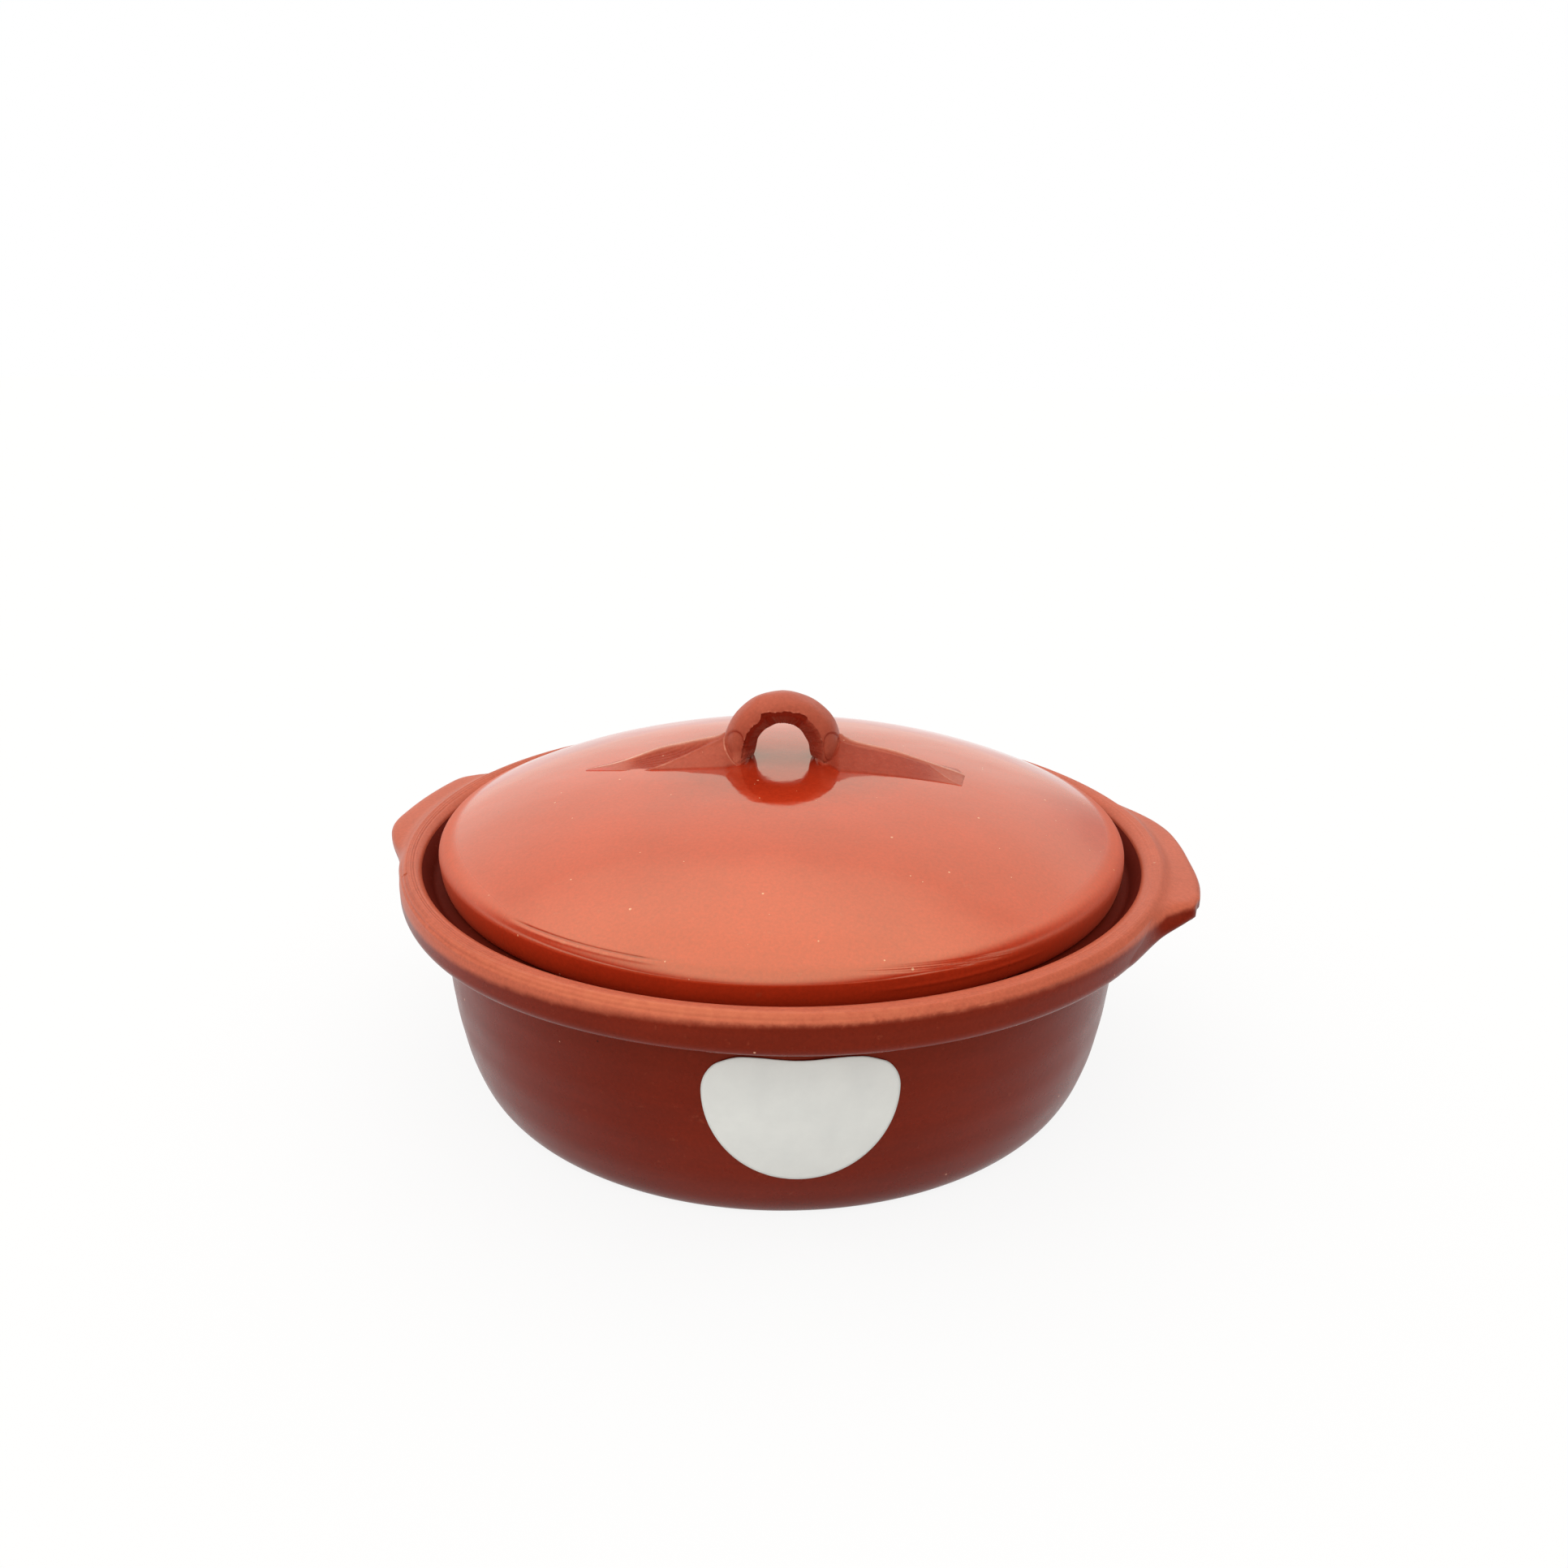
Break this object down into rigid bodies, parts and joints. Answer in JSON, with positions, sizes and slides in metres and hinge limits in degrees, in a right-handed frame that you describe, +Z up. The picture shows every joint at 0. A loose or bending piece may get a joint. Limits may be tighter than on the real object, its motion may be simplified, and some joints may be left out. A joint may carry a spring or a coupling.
{
  "type": "lidded earthenware casserole",
  "caption": "Low round red-clay casserole with an overhanging rim, ledge lugs and a loose domed lid that sits in a gallery and lifts by a clay loop.",
  "frame": {"origin": "centre of the base, on the table", "axes": "+Z up along the pot's axis, +X towards the right lug, -Y towards the label"},
  "size_m": [0.302, 0.28, 0.1374],
  "materials": {
    "pot_glaze": "satin transparent glaze over red clay",
    "lid_glaze": "glossy transparent glaze over red clay",
    "loop_glaze": "thin satin glaze over hand-worked red clay",
    "label_paper": "smooth white sticker paper"
  },
  "bodies": {
    "pot": {"pot_body": "pot_glaze", "left_lug": "pot_glaze", "right_lug": "pot_glaze", "paper_label": "label_paper"},
    "lid": {"lid_dome": "lid_glaze", "lid_loop": "loop_glaze", "left_loop_root": "loop_glaze", "right_loop_root": "loop_glaze"}
  },
  "joints": [
    {"name": "lid_lift", "type": "slide", "parent": "pot", "child": "lid", "axis": [0, 0, 1], "range_m": [0, 0.15]}
  ]
}
